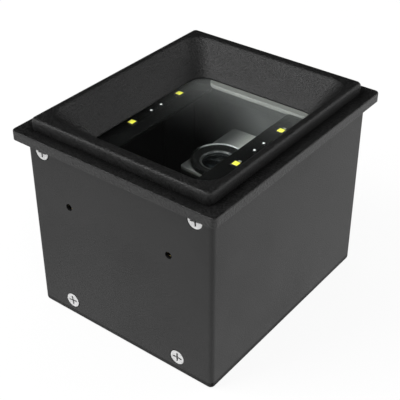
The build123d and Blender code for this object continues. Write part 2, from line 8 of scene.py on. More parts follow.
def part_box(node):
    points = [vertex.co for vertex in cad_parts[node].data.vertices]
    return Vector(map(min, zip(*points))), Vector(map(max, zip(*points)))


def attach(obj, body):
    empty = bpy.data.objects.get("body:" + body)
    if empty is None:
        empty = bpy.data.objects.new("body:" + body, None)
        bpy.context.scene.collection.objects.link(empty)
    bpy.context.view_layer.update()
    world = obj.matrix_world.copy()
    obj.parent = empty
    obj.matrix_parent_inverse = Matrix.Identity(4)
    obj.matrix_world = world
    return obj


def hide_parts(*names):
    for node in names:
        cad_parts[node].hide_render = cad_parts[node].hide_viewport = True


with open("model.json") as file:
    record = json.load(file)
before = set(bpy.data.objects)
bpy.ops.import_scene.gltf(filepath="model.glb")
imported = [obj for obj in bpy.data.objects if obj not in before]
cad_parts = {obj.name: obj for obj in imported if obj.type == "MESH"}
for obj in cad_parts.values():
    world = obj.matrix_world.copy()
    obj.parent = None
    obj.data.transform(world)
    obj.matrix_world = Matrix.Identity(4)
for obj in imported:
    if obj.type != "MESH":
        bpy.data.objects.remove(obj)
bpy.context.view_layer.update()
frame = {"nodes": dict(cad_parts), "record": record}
scene = bpy.context.scene
mm = 0.001


def colourOf(shade, tint=(1, 1, 1)):
    return (shade * tint[0], shade * tint[1], shade * tint[2], 1)


# Node graphs

def addNode(tree, kind, **settings):
    node = tree.nodes.new(kind)
    for name, value in settings.items():
        setattr(node, name, value)
    return node


def feed(tree, source, target):
    tree.links.new(source, target)


def mathNode(tree, operation, first, second=None, clamp=False):
    node = addNode(tree, "ShaderNodeMath", operation=operation, use_clamp=clamp)
    for socket, value in zip(node.inputs, (first, second)):
        if isinstance(value, (int, float)):
            socket.default_value = value
        elif value is not None:
            feed(tree, value, socket)
    return node.outputs[0]


def rangeNode(tree, value, low, high, newLow, newHigh, smooth=False):
    node = addNode(tree, "ShaderNodeMapRange", interpolation_type="SMOOTHSTEP" if smooth else "LINEAR")
    feed(tree, value, node.inputs["Value"])
    for name, setting in (("From Min", low), ("From Max", high), ("To Min", newLow), ("To Max", newHigh)):
        if isinstance(setting, (int, float)):
            node.inputs[name].default_value = setting
        else:
            feed(tree, setting, node.inputs[name])
    return node.outputs["Result"]


def mixColours(tree, share, first, second, blend="MIX"):
    node = addNode(tree, "ShaderNodeMix", data_type="RGBA", blend_type=blend)
    for socket, value in ((node.inputs[0], share), (node.inputs[6], first), (node.inputs[7], second)):
        if isinstance(value, (int, float, tuple)):
            socket.default_value = value
        else:
            feed(tree, value, socket)
    return node.outputs[2]


def noiseNode(tree, vector, scale, detail=2.0, roughness=0.5):
    node = addNode(tree, "ShaderNodeTexNoise")
    feed(tree, vector, node.inputs["Vector"])
    if isinstance(scale, (int, float)):
        node.inputs["Scale"].default_value = scale
    else:
        feed(tree, scale, node.inputs["Scale"])
    node.inputs["Detail"].default_value = detail
    node.inputs["Roughness"].default_value = roughness
    return node.outputs["Fac"]


def partsOf(tree, vector):
    node = addNode(tree, "ShaderNodeSeparateXYZ")
    feed(tree, vector, node.inputs[0])
    return node.outputs


def unitVector(tree, vector):
    node = addNode(tree, "ShaderNodeVectorMath", operation="NORMALIZE")
    feed(tree, vector, node.inputs[0])
    return node.outputs[0]


def mixVectors(tree, share, first, second):
    node = addNode(tree, "ShaderNodeMix", data_type="VECTOR")
    for socket, value in ((node.inputs[0], share), (node.inputs[4], first), (node.inputs[5], second)):
        feed(tree, value, socket)
    return node.outputs[1]


def newGroup(name, inputs, outputs):
    tree = bpy.data.node_groups.new(name, "ShaderNodeTree")
    for label, kind, value in inputs:
        socket = tree.interface.new_socket(label, in_out="INPUT", socket_type=kind)
        socket.default_value = value
    for label, kind in outputs:
        tree.interface.new_socket(label, in_out="OUTPUT", socket_type=kind)
    given = addNode(tree, "NodeGroupInput")
    made = addNode(tree, "NodeGroupOutput")
    return tree, given.outputs, made.inputs


def objectPlace(tree):
    return addNode(tree, "ShaderNodeTexCoord").outputs["Object"]


# A moulded or powdered surface: fine grain, with slow changes of tone.
def makeFineGrain():
    tree, given, made = newGroup(
        "fineGrain",
        [("Size", "NodeSocketFloat", 0.0004), ("Patch", "NodeSocketFloat", 0.012)],
        [("Height", "NodeSocketFloat"), ("Speck", "NodeSocketFloat"), ("Tone", "NodeSocketFloat")])
    place = objectPlace(tree)
    fine = noiseNode(tree, place, mathNode(tree, "DIVIDE", 1.0, given["Size"]), 3.0, 0.6)
    feed(tree, fine, made["Height"])
    feed(tree, rangeNode(tree, fine, 0.3, 0.7, 0.0, 1.0, True), made["Speck"])
    patch = noiseNode(tree, place, mathNode(tree, "DIVIDE", 1.0, given["Patch"]), 2.0, 0.5)
    feed(tree, rangeNode(tree, patch, 0.3, 0.7, 0.0, 1.0, True), made["Tone"])
    return tree


# A mask of the outer edges that hands and tools rub, broken up by noise. Inner corners stay as they are.
def makeEdgeWear():
    tree, given, made = newGroup(
        "edgeWear", [("Width", "NodeSocketFloat", 0.0003), ("Breakup", "NodeSocketFloat", 0.003)],
        [("Mask", "NodeSocketFloat"), ("Normal", "NodeSocketVector")])
    bevel = addNode(tree, "ShaderNodeBevel", samples=4)
    feed(tree, given["Width"], bevel.inputs["Radius"])
    flat = addNode(tree, "ShaderNodeNewGeometry").outputs["Normal"]
    facing = addNode(tree, "ShaderNodeVectorMath", operation="DOT_PRODUCT")
    feed(tree, bevel.outputs["Normal"], facing.inputs[0])
    feed(tree, flat, facing.inputs[1])
    edge = rangeNode(tree, facing.outputs["Value"], 0.995, 0.85, 0.0, 1.0)
    around = addNode(tree, "ShaderNodeAmbientOcclusion", samples=4, only_local=True)
    feed(tree, given["Width"], around.inputs["Distance"])
    outer = rangeNode(tree, around.outputs["AO"], 0.75, 0.95, 0.0, 1.0)
    noise = noiseNode(tree, objectPlace(tree), mathNode(tree, "DIVIDE", 1.0, given["Breakup"]), 4.0, 0.6)
    worn = mathNode(tree, "MULTIPLY", edge, rangeNode(tree, noise, 0.35, 0.65, 0.0, 1.0, True))
    feed(tree, mathNode(tree, "MULTIPLY", worn, outer), made["Mask"])
    feed(tree, mixVectors(tree, outer, flat, bevel.outputs["Normal"]), made["Normal"])
    return tree


# Smears and faint dust that change the gloss.
def makeSmudges():
    tree, given, made = newGroup("smudges", [("Size", "NodeSocketFloat", 0.02)],
                                 [("Smear", "NodeSocketFloat"), ("Dust", "NodeSocketFloat")])
    place = objectPlace(tree)
    scale = mathNode(tree, "DIVIDE", 1.0, given["Size"])
    smear = noiseNode(tree, place, scale, 5.0, 0.65)
    feed(tree, rangeNode(tree, smear, 0.4, 0.75, 0.0, 1.0, True), made["Smear"])
    dust = noiseNode(tree, place, mathNode(tree, "MULTIPLY", scale, 60.0), 1.0, 0.5)
    feed(tree, rangeNode(tree, dust, 0.68, 0.8, 0.0, 1.0, True), made["Dust"])
    return tree


# Painted shade that gathers in hollows, such as a screw's cross or the foot of the lip.
def makeHollowPaintedShade():
    tree, given, made = newGroup("hollowPaintedShade", [("Reach", "NodeSocketFloat", 0.0005)],
                                 [("Mask", "NodeSocketFloat")])
    around = addNode(tree, "ShaderNodeAmbientOcclusion", samples=6, only_local=True)
    feed(tree, given["Reach"], around.inputs["Distance"])
    feed(tree, rangeNode(tree, around.outputs["AO"], 0.45, 0.92, 1.0, 0.0, True), made["Mask"])
    return tree


# Normals pulled towards the flats, so that an edge looks tighter than its fillet.
def makeTightEdges():
    tree, given, made = newGroup("tightEdges", [("Normal", "NodeSocketVector", (0, 0, 1)),
                                                ("Power", "NodeSocketFloat", 2.0)],
                                 [("Normal", "NodeSocketVector")])
    joined = addNode(tree, "ShaderNodeCombineXYZ")
    for axis, part in enumerate(partsOf(tree, given["Normal"])):
        size = mathNode(tree, "POWER", mathNode(tree, "ABSOLUTE", part), given["Power"])
        feed(tree, mathNode(tree, "MULTIPLY", size, mathNode(tree, "SIGN", part)), joined.inputs[axis])
    feed(tree, unitVector(tree, joined.outputs[0]), made["Normal"])
    return tree


# Painted shade: a band along the foot of the walls, with its own height on the sides and the ends. Its
# normal lies level.
def makeFootBand():
    tree, given, made = newGroup(
        "footBand", [("Normal", "NodeSocketVector", (0, 0, 1)), ("Side", "NodeSocketFloat", 0.0008),
                     ("End", "NodeSocketFloat", 0.0014), ("Soft", "NodeSocketFloat", 0.0002)],
        [("Mask", "NodeSocketFloat"), ("Turned", "NodeSocketFloat"), ("Normal", "NodeSocketVector")])
    facing = partsOf(tree, given["Normal"])
    turned = mathNode(tree, "GREATER_THAN", mathNode(tree, "ABSOLUTE", facing["Y"]),
                      mathNode(tree, "ABSOLUTE", facing["X"]))
    feed(tree, turned, made["Turned"])
    height = rangeNode(tree, turned, 0.0, 1.0, given["Side"], given["End"])
    upTo = mathNode(tree, "ADD", height, given["Soft"])
    mask = rangeNode(tree, partsOf(tree, objectPlace(tree))["Z"], height, upTo, 1.0, 0.0)
    feed(tree, mask, made["Mask"])
    level = addNode(tree, "ShaderNodeVectorMath", operation="MULTIPLY")
    feed(tree, given["Normal"], level.inputs[0])
    level.inputs[1].default_value = (1, 1, 0.1)
    feed(tree, mixVectors(tree, mask, given["Normal"], unitVector(tree, level.outputs[0])), made["Normal"])
    return tree


# Turned or brushed metal: fine lines along one direction.
def makeFineLines():
    tree, given, made = newGroup(
        "fineLines", [("Stretch", "NodeSocketVector", (1, 1, 1)), ("Size", "NodeSocketFloat", 0.0002)],
        [("Height", "NodeSocketFloat"), ("Tone", "NodeSocketFloat")])
    stretch = addNode(tree, "ShaderNodeVectorMath", operation="MULTIPLY")
    feed(tree, objectPlace(tree), stretch.inputs[0])
    feed(tree, given["Stretch"], stretch.inputs[1])
    lines = noiseNode(tree, stretch.outputs[0], mathNode(tree, "DIVIDE", 1.0, given["Size"]), 2.0, 0.5)
    feed(tree, lines, made["Height"])
    feed(tree, rangeNode(tree, lines, 0.3, 0.7, 0.0, 1.0), made["Tone"])
    return tree


# Copper runs under the lacquer of a circuit board.
def makeBoardRuns():
    tree, given, made = newGroup(
        "boardRuns", [("Pitch", "NodeSocketFloat", 0.0016)],
        [("Run", "NodeSocketFloat"), ("Pad", "NodeSocketFloat")])
    place = objectPlace(tree)
    scale = mathNode(tree, "DIVIDE", 1.0, given["Pitch"])
    cells = addNode(tree, "ShaderNodeTexVoronoi", feature="F1", distance="CHEBYCHEV")
    feed(tree, place, cells.inputs["Vector"])
    feed(tree, scale, cells.inputs["Scale"])
    feed(tree, rangeNode(tree, cells.outputs["Distance"], 0.10, 0.14, 1.0, 0.0), made["Pad"])
    wave = addNode(tree, "ShaderNodeTexWave", wave_type="BANDS", bands_direction="Y", wave_profile="TRI")
    feed(tree, place, wave.inputs["Vector"])
    feed(tree, mathNode(tree, "MULTIPLY", scale, 0.5), wave.inputs["Scale"])
    wave.inputs["Distortion"].default_value = 0.0
    block = noiseNode(tree, place, mathNode(tree, "MULTIPLY", scale, 0.25), 0.0)
    lines = mathNode(tree, "MULTIPLY", rangeNode(tree, wave.outputs["Fac"], 0.7, 0.8, 0.0, 1.0),
                     rangeNode(tree, block, 0.5, 0.52, 0.0, 1.0))
    feed(tree, lines, made["Run"])
    return tree


groups = {"grain": makeFineGrain(), "wear": makeEdgeWear(), "smudges": makeSmudges(),
          "paintedShade": makeHollowPaintedShade(), "tight": makeTightEdges(), "foot": makeFootBand(),
          "lines": makeFineLines(), "runs": makeBoardRuns()}


def placeGroup(tree, name, **values):
    node = addNode(tree, "ShaderNodeGroup", node_tree=groups[name])
    for label, value in values.items():
        node.inputs[label].default_value = value
    return node.outputs


def newMaterial(name):
    material = bpy.data.materials.new(name)
    material.use_nodes = True
    tree = material.node_tree
    return material, tree, tree.nodes["Principled BSDF"], tree.nodes["Material Output"]


def bump(tree, height, depth, normal=None, strength=1.0):
    node = addNode(tree, "ShaderNodeBump")
    node.inputs["Strength"].default_value = strength
    node.inputs["Distance"].default_value = depth
    feed(tree, height, node.inputs["Height"])
    if normal is not None:
        feed(tree, normal, node.inputs["Normal"])
    return node.outputs["Normal"]


# Tighter edges, over the whole piece or only outside a box of half X by half Y.
def tightNormal(tree, normal, tight):
    node = addNode(tree, "ShaderNodeGroup", node_tree=groups["tight"])
    feed(tree, normal, node.inputs["Normal"])
    node.inputs["Power"].default_value = tight["power"]
    if "outside" not in tight:
        return node.outputs["Normal"]
    place = partsOf(tree, objectPlace(tree))
    beyond = [mathNode(tree, "GREATER_THAN", mathNode(tree, "ABSOLUTE", place[axis]), reach)
              for axis, reach in enumerate(tight["outside"])]
    return mixVectors(tree, mathNode(tree, "MAXIMUM", beyond[0], beyond[1]), normal, node.outputs["Normal"])


# Painted shade in a piece's hollows, which may be weaker on upright faces and may take the gloss with it.
def shadeHollows(tree, shader, look, colour):
    hollow = placeGroup(tree, "paintedShade", Reach=look["paintedShade"])["Mask"]
    if "paintedShadeMetal" in look:
        facing = partsOf(tree, addNode(tree, "ShaderNodeTexCoord").outputs["Normal"])
        upward = rangeNode(tree, facing["Z"], 0.3, 0.9, look["paintedShadeSide"], 1.0)
        hollow = mathNode(tree, "MULTIPLY", hollow, upward)
        feed(tree, mathNode(tree, "MULTIPLY", hollow, look["paintedShadeMetal"]), shader.inputs["Metallic"])
    return mixColours(tree, mathNode(tree, "MULTIPLY", hollow, look["paintedShadeShare"]), colour,
                      look["paintedShadeColour"])


# Painted shade: a dark, level band at a body's foot.
def shadeFoot(tree, shader, foot, colour, normal):
    band = addNode(tree, "ShaderNodeGroup", node_tree=groups["foot"])
    feed(tree, normal, band.inputs["Normal"])
    band.inputs["Side"].default_value = foot["side"]
    band.inputs["End"].default_value = foot["end"]
    metal = rangeNode(tree, band.outputs["Turned"], 0.0, 1.0, foot["sideMetal"], foot["endMetal"])
    feed(tree, mathNode(tree, "MULTIPLY", band.outputs["Mask"], metal), shader.inputs["Metallic"])
    return mixColours(tree, band.outputs["Mask"], colour, foot["colour"]), band.outputs["Normal"]


# Painted light and shade: colour that fades to another along one axis.
def paintLightAlongAxis(tree, fade, colour):
    along = partsOf(tree, objectPlace(tree))[fade["axis"]]
    near = rangeNode(tree, along, fade["from"], fade["to"], 1.0, 0.0, True)
    return mixColours(tree, near, colour, fade["colour"])


# One finish for opaque materials: tone, speckle, worn edges, gloss that changes, and grain or lines.
def opaqueFinish(name, look):
    material, tree, shader, _ = newMaterial(name)
    grain = placeGroup(tree, "grain", Size=look["grain"], Patch=look.get("patch", 0.012))
    smudges = placeGroup(tree, "smudges", Size=look.get("smudge", 0.02))
    wear = placeGroup(tree, "wear", Width=look.get("edge", 0.0003), Breakup=look.get("breakup", 0.003))
    colour = mixColours(tree, grain["Tone"], look["colour"], look["colour2"])
    if "speck" in look:
        colour = mixColours(tree, mathNode(tree, "MULTIPLY", grain["Speck"], look["speck"]), colour,
                            look["speckColour"])
    if "runs" in look:
        runs = placeGroup(tree, "runs", Pitch=look["runs"])
        colour = mixColours(tree, runs["Run"], colour, look["runColour"])
        colour = mixColours(tree, runs["Pad"], colour, look["padColour"])
    colour = mixColours(tree, mathNode(tree, "MULTIPLY", wear["Mask"], look.get("wear", 0.3)), colour,
                        look.get("wearColour", colourOf(0.2)))
    dust = mathNode(tree, "MULTIPLY", smudges["Dust"], look.get("dust", 0.0))
    colour = mixColours(tree, dust, colour, colourOf(0.35))
    if "paintedShade" in look:
        colour = shadeHollows(tree, shader, look, colour)
    normal = wear["Normal"]
    if "tight" in look:
        normal = tightNormal(tree, normal, look["tight"])
    if "foot" in look:
        colour, normal = shadeFoot(tree, shader, look["foot"], colour, normal)
    for fade in look.get("paintedLightFades", ()):
        colour = paintLightAlongAxis(tree, fade, colour)
    feed(tree, colour, shader.inputs["Base Color"])
    gloss = rangeNode(tree, smudges["Smear"], 0.0, 1.0, look["rough"], look["rough"] + look["roughSpan"])
    speckGloss = mathNode(tree, "MULTIPLY", grain["Speck"], look.get("speckRough", 0.04))
    feed(tree, mathNode(tree, "ADD", gloss, speckGloss), shader.inputs["Roughness"])
    height = grain["Height"]
    if "lines" in look:
        lines = placeGroup(tree, "lines", Stretch=look["lines"], Size=look["lineSize"])
        height = lines["Height"]
    feed(tree, bump(tree, height, look["depth"], normal), shader.inputs["Normal"])
    shader.inputs["Metallic"].default_value = look.get("metal", 0.0)
    shader.inputs["IOR"].default_value = look.get("ior", 1.5)
    if "coat" in look:
        shader.inputs["Coat Weight"].default_value = look["coat"]
        shader.inputs["Coat Roughness"].default_value = look.get("coatRough", 0.1)
    if "glow" in look:
        feed(tree, colour, shader.inputs["Emission Color"])
        shader.inputs["Emission Strength"].default_value = look["glow"]
    return material


# A painted veil of light on glass: a faint lit layer that thickens towards one end of Y, a little uneven.
def paintLightVeil(tree, clear, lightVeil, patches):
    along = rangeNode(tree, partsOf(tree, objectPlace(tree))["Y"], lightVeil["from"], lightVeil["to"], 0.0, 1.0)
    share = mathNode(tree, "MULTIPLY", mathNode(tree, "POWER", along, lightVeil["power"]), lightVeil["most"])
    uneven = rangeNode(tree, patches, 0.0, 1.0, 1 - lightVeil["uneven"], 1 + lightVeil["uneven"])
    veilLayer = addNode(tree, "ShaderNodeBsdfDiffuse")
    veilLayer.inputs["Color"].default_value = lightVeil["colour"]
    mix = addNode(tree, "ShaderNodeMixShader")
    feed(tree, mathNode(tree, "MULTIPLY", share, uneven), mix.inputs[0])
    feed(tree, clear, mix.inputs[1])
    feed(tree, veilLayer.outputs[0], mix.inputs[2])
    return mix.outputs[0]


# Clear finishes: light from the lamps goes straight through them, so what is behind stays lit.
def clearFinish(name, look):
    material, tree, shader, output = newMaterial(name)
    smudges = placeGroup(tree, "smudges", Size=look["smudge"])
    grain = placeGroup(tree, "grain", Size=look["grain"], Patch=look["patch"])
    colour = mixColours(tree, grain["Tone"], look["colour"], look["colour2"])
    colour = mixColours(tree, mathNode(tree, "MULTIPLY", smudges["Dust"], look["dust"]), colour,
                        colourOf(0.6))
    feed(tree, colour, shader.inputs["Base Color"])
    feed(tree, rangeNode(tree, smudges["Smear"], 0.0, 1.0, look["rough"], look["rough"] + look["roughSpan"]),
         shader.inputs["Roughness"])
    feed(tree, bump(tree, grain["Height"], look["depth"], strength=0.3), shader.inputs["Normal"])
    shader.inputs["IOR"].default_value = look["ior"]
    shader.inputs["Transmission Weight"].default_value = 1.0
    if "coat" in look:
        shader.inputs["Coat Weight"].default_value = look["coat"]
        shader.inputs["Coat Roughness"].default_value = 0.02
        shader.inputs["Coat IOR"].default_value = look["coatIor"]
        shader.inputs["Coat Tint"].default_value = look["coatTint"]
    seen = shader.outputs[0]
    # Painted veil of light over the glass.
    if "lightVeil" in look:
        seen = paintLightVeil(tree, seen, look["lightVeil"], grain["Tone"])
    through = addNode(tree, "ShaderNodeBsdfTransparent")
    through.inputs["Color"].default_value = look["through"]
    mix = addNode(tree, "ShaderNodeMixShader")
    feed(tree, addNode(tree, "ShaderNodeLightPath").outputs["Is Shadow Ray"], mix.inputs[0])
    feed(tree, seen, mix.inputs[1])
    feed(tree, through.outputs[0], mix.inputs[2])
    feed(tree, mix.outputs[0], output.inputs["Surface"])
    return material


# Lengths are in metres. Colour and colour2 change slowly into each other, and speck is the fine grain.
opaqueLooks = {
    "body_plastic": {
        "colour": colourOf(0.007), "colour2": colourOf(0.006), "speck": 0.6, "speckColour": colourOf(0.013),
        "grain": 0.00036, "patch": 0.016, "depth": 0.00013, "rough": 0.43, "roughSpan": 0.05, "ior": 1.415,
        "wear": 0.25, "wearColour": colourOf(0.03), "edge": 0.0002, "tight": {"power": 2.4},
        # Painted shade along the foot.
        "foot": {"side": 0.0022, "end": 0.0020, "colour": colourOf(0.004),
                 "sideMetal": 1.0, "endMetal": 0.5}},
    "bezel_plastic": {
        "colour": colourOf(0.002), "colour2": colourOf(0.0015), "speck": 0.9, "speckColour": colourOf(0.020),
        "grain": 0.00050, "patch": 0.01, "depth": 0.00027, "rough": 0.33, "roughSpan": 0.04, "ior": 1.43,
        "speckRough": 0.06, "wear": 0.15, "wearColour": colourOf(0.03), "edge": 0.0002, "dust": 0.02,
        # Painted shade in the hollows, weaker on upright faces, as on the flange top beside the lip.
        "paintedShade": 0.004, "paintedShadeShare": 0.9, "paintedShadeColour": colourOf(0.001), "paintedShadeMetal": 0.9,
        "paintedShadeSide": 0.3,
        "tight": {"power": 1.7, "outside": (0.0289, 0.0341)}},
    "gasket_rubber": {
        "colour": colourOf(0.008), "colour2": colourOf(0.012), "grain": 0.0002, "depth": 0.00002,
        "rough": 0.6, "roughSpan": 0.1, "wear": 0.1, "wearColour": colourOf(0.03)},
    "light_plastic": {
        "colour": colourOf(0.44, (1, 0.97, 0.92)), "colour2": colourOf(0.40, (1, 0.97, 0.92)),
        "grain": 0.0003, "depth": 0.00002, "rough": 0.45, "roughSpan": 0.08, "wear": 0.6,
        "wearColour": colourOf(0.85), "speck": 0.2, "speckColour": colourOf(0.38)},
    "mount_plastic": {
        "colour": colourOf(0.80, (1, 0.98, 0.93)), "colour2": colourOf(0.72, (1, 0.98, 0.93)),
        "grain": 0.0003, "depth": 0.00005, "rough": 0.4, "roughSpan": 0.08, "wear": 0.9,
        "wearColour": colourOf(0.95), "edge": 0.00025, "speck": 0.4, "speckColour": colourOf(0.6),
        # Painted shade: darker towards the left end and on the side walls below the top plate.
        "paintedLightFades": [{"axis": "X", "from": -0.008, "to": 0.002, "colour": colourOf(0.16)},
                  {"axis": "Z", "from": 0.0352, "to": 0.0363, "colour": colourOf(0.01)}]},
    # A pale rim with a painted highlight on its far side, fading to dark towards the near side.
    "rim_painted_highlight": {
        "colour": colourOf(0.9), "colour2": colourOf(0.8), "grain": 0.00015, "depth": 0.000005,
        "rough": 0.24, "roughSpan": 0.06, "metal": 0.2, "wear": 0.2, "wearColour": colourOf(0.9),
        "paintedLightFades": [{"axis": "Y", "from": 0.0085, "to": 0.0125, "colour": colourOf(0.012)}]},
    "dome_white": {
        "colour": colourOf(0.95), "colour2": colourOf(0.9), "grain": 0.0001, "depth": 0.000002,
        # The glow is a painted highlight; the domes are no lamps.
        "rough": 0.2, "roughSpan": 0.05, "wear": 0.0, "coat": 0.6, "coatRough": 0.05, "glow": 0.3},
    "screen_grey": {
        "colour": colourOf(0.15), "colour2": colourOf(0.135), "grain": 0.0003, "patch": 0.008,
        "depth": 0.00002, "rough": 0.6, "roughSpan": 0.1, "speck": 0.2, "speckColour": colourOf(0.17),
        # Painted shadow: darker towards the left end.
        "wear": 0.0, "paintedLightFades": [{"axis": "X", "from": -0.024, "to": -0.004, "colour": colourOf(0.004)}]},
    "board_dark": {
        "colour": colourOf(0.0025), "colour2": colourOf(0.002), "grain": 0.00015,
        "depth": 0.00001, "rough": 0.5, "roughSpan": 0.1, "ior": 1.2, "runs": 0.0016,
        "runColour": colourOf(0.004), "padColour": colourOf(0.005),
        "wear": 0.3, "wearColour": (0.02, 0.018, 0.012, 1)},
    "board_green": {
        "colour": (0.006, 0.06, 0.02, 1), "colour2": (0.005, 0.05, 0.018, 1), "grain": 0.00015,
        "depth": 0.00001, "rough": 0.3, "roughSpan": 0.12, "runs": 0.0015,
        "runColour": (0.012, 0.10, 0.035, 1), "padColour": (0.5, 0.42, 0.2, 1),
        "wear": 0.4, "wearColour": (0.3, 0.27, 0.15, 1)},
    "led_white": {
        "colour": (0.80, 0.80, 0.42, 1), "colour2": (0.72, 0.72, 0.36, 1), "grain": 0.0001,
        "patch": 0.001, "depth": 0.000006, "rough": 0.35, "roughSpan": 0.1, "wear": 0.2,
        "wearColour": colourOf(0.85)},
    "led_yellow": {
        "colour": (0.90, 0.86, 0.05, 1), "colour2": (0.93, 0.90, 0.16, 1), "grain": 0.00012,
        "patch": 0.0012, "depth": 0.00001, "rough": 0.3, "roughSpan": 0.1, "speck": 0.25,
        "speckColour": (0.85, 0.74, 0.04, 1), "wear": 0.2, "wearColour": (1, 1, 0.4, 1), "glow": 0.55},
    "connector_plastic": {
        "colour": colourOf(0.55, (1, 0.97, 0.88)), "colour2": colourOf(0.5, (1, 0.97, 0.88)),
        "grain": 0.0002, "depth": 0.00001, "rough": 0.4, "roughSpan": 0.1, "wear": 0.3,
        "wearColour": colourOf(0.7)},
    "lens_black": {
        "colour": colourOf(0.008), "colour2": colourOf(0.012), "grain": 0.0002, "depth": 0.00001,
        "rough": 0.35, "roughSpan": 0.1, "lines": (0.15, 0.15, 8.0), "lineSize": 0.0002,
        "wear": 0.3, "wearColour": colourOf(0.1), "edge": 0.00012, "breakup": 0.01},
    "ring_grey": {
        "colour": colourOf(0.11), "colour2": colourOf(0.15), "grain": 0.00015, "depth": 0.00001,
        "rough": 0.34, "roughSpan": 0.08, "metal": 0.5, "lines": (0.2, 0.2, 8.0), "lineSize": 0.00015,
        "wear": 0.5, "wearColour": colourOf(0.4), "edge": 0.00008},
    "chip_black": {
        "colour": colourOf(0.016), "colour2": colourOf(0.02), "grain": 0.00012, "depth": 0.00001,
        "rough": 0.55, "roughSpan": 0.1, "wear": 0.3, "wearColour": colourOf(0.08)},
    "can_aluminium": {
        "colour": colourOf(0.62), "colour2": colourOf(0.55), "grain": 0.0002, "depth": 0.00001,
        "rough": 0.28, "roughSpan": 0.12, "metal": 1.0, "lines": (0.2, 0.2, 6.0), "lineSize": 0.0003,
        "wear": 0.4, "wearColour": colourOf(0.8)},
    "tray_steel": {
        "colour": colourOf(0.50), "colour2": colourOf(0.42), "grain": 0.0003, "depth": 0.00001,
        "rough": 0.3, "roughSpan": 0.15, "metal": 1.0, "lines": (6.0, 0.2, 6.0), "lineSize": 0.0004,
        "wear": 0.4, "wearColour": colourOf(0.7)},
    "brass": {
        "colour": (0.70, 0.48, 0.18, 1), "colour2": (0.60, 0.40, 0.14, 1), "grain": 0.0002,
        "depth": 0.00001, "rough": 0.25, "roughSpan": 0.15, "metal": 1.0, "wear": 0.4,
        # Painted shade in the hollows.
        "wearColour": (0.85, 0.65, 0.32, 1), "paintedShade": 0.003, "paintedShadeShare": 1.0,
        "paintedShadeColour": colourOf(0.006)},
    "screw_steel": {
        "colour": colourOf(0.70), "colour2": colourOf(0.64), "grain": 0.00015, "patch": 0.002,
        "depth": 0.000008, "rough": 0.42, "roughSpan": 0.12, "metal": 0.35, "speck": 0.25,
        "speckColour": colourOf(0.55), "wear": 0.5, "wearColour": colourOf(0.85), "edge": 0.00012,
        # Painted shade in the cross recess.
        "paintedShade": 0.0009, "paintedShadeShare": 1.0, "paintedShadeColour": colourOf(0.025)},
    "cable_film": {
        "colour": (0.55, 0.40, 0.16, 1), "colour2": (0.48, 0.33, 0.12, 1), "grain": 0.0002,
        "depth": 0.00001, "rough": 0.3, "roughSpan": 0.1, "lines": (0.1, 6.0, 0.1), "lineSize": 0.0005,
        "wear": 0.2, "wearColour": (0.7, 0.55, 0.3, 1)},
}

clearLooks = {
    "window_glass": {
        "colour": (0.93, 0.96, 0.95, 1), "colour2": (0.92, 0.95, 0.94, 1), "grain": 0.004, "patch": 0.03,
        "depth": 0.0000005, "rough": 0.0, "roughSpan": 0.03, "smudge": 0.012, "dust": 0.05, "ior": 1.5,
        "through": (0.90, 0.93, 0.92, 1),
        # A painted veil of light towards the rear edge.
        "lightVeil": {"from": -0.010, "to": 0.022, "power": 2.7, "most": 0.044, "uneven": 0.06,
                 "colour": (0.96, 1.0, 0.98, 1)}},
    "lens_glass": {
        "colour": (0.88, 0.92, 0.95, 1), "colour2": (0.86, 0.90, 0.94, 1), "grain": 0.001, "patch": 0.006,
        "depth": 0.0000005, "rough": 0.0, "roughSpan": 0.02, "smudge": 0.004, "dust": 0.05, "ior": 1.55,
        "through": (0.8, 0.85, 0.9, 1), "coat": 0.3, "coatIor": 1.6, "coatTint": (0.92, 0.96, 1.0, 1)},
    "sensor_clear": {
        "colour": (0.95, 0.95, 0.95, 1), "colour2": (0.93, 0.93, 0.93, 1), "grain": 0.0005, "patch": 0.002,
        "depth": 0.0000005, "rough": 0.02, "roughSpan": 0.03, "smudge": 0.003, "dust": 0.05, "ior": 1.5,
        "through": (0.9, 0.9, 0.9, 1)},
}

materials = {name: opaqueFinish(name, look) for name, look in opaqueLooks.items()}
materials.update({name: clearFinish(name, look) for name, look in clearLooks.items()})

nodeLooks = {"lens_mount": "mount_plastic"}
for part in frame["record"]["subparts"]:
    for place in frame["nodes"][part["node"]].material_slots:
        place.material = materials[nodeLooks.get(part["node"], part["material_slot"])]
print("materials placed:", len(materials))


# Modelling tools

modelling = {"facing": 0.9, "edgeAngle": math.radians(40), "smoothAngle": math.radians(35)}


def startPiece():
    if bpy.context.object and bpy.context.object.mode != "OBJECT":
        bpy.ops.object.mode_set(mode="OBJECT")
    bpy.ops.object.select_all(action="DESELECT")


def namePiece(name):
    piece = bpy.context.object
    piece.name = name
    piece.data.name = name
    bpy.ops.object.transform_apply(location=True, rotation=True, scale=True)
    return piece


def onlyThis(piece):
    startPiece()
    bpy.context.view_layer.objects.active = piece
    piece.select_set(True)


def selectFaces(piece, wanted):
    bpy.ops.object.mode_set(mode="EDIT")
    bpy.ops.mesh.select_mode(type="FACE")
    bpy.ops.mesh.select_all(action="DESELECT")
    bpy.ops.object.mode_set(mode="OBJECT")
    for face in piece.data.polygons:
        face.select = wanted(face)
    bpy.ops.object.mode_set(mode="EDIT")


def applyModifier(piece, kind, **settings):
    onlyThis(piece)
    bpy.ops.object.modifier_add(type=kind)
    modifier = piece.modifiers[-1]
    for name, value in settings.items():
        setattr(modifier, name, value)
    bpy.ops.object.modifier_apply(modifier=modifier.name)


def softenEdges(piece, width):
    applyModifier(piece, "BEVEL", width=width, segments=2, limit_method="ANGLE",
                  angle_limit=modelling["edgeAngle"])


def addRound(name, radius, height, sides, base=0):
    startPiece()
    bpy.ops.mesh.primitive_cylinder_add(vertices=sides, radius=radius, depth=height,
                                        location=(0, 0, base + height / 2))
    return namePiece(name)


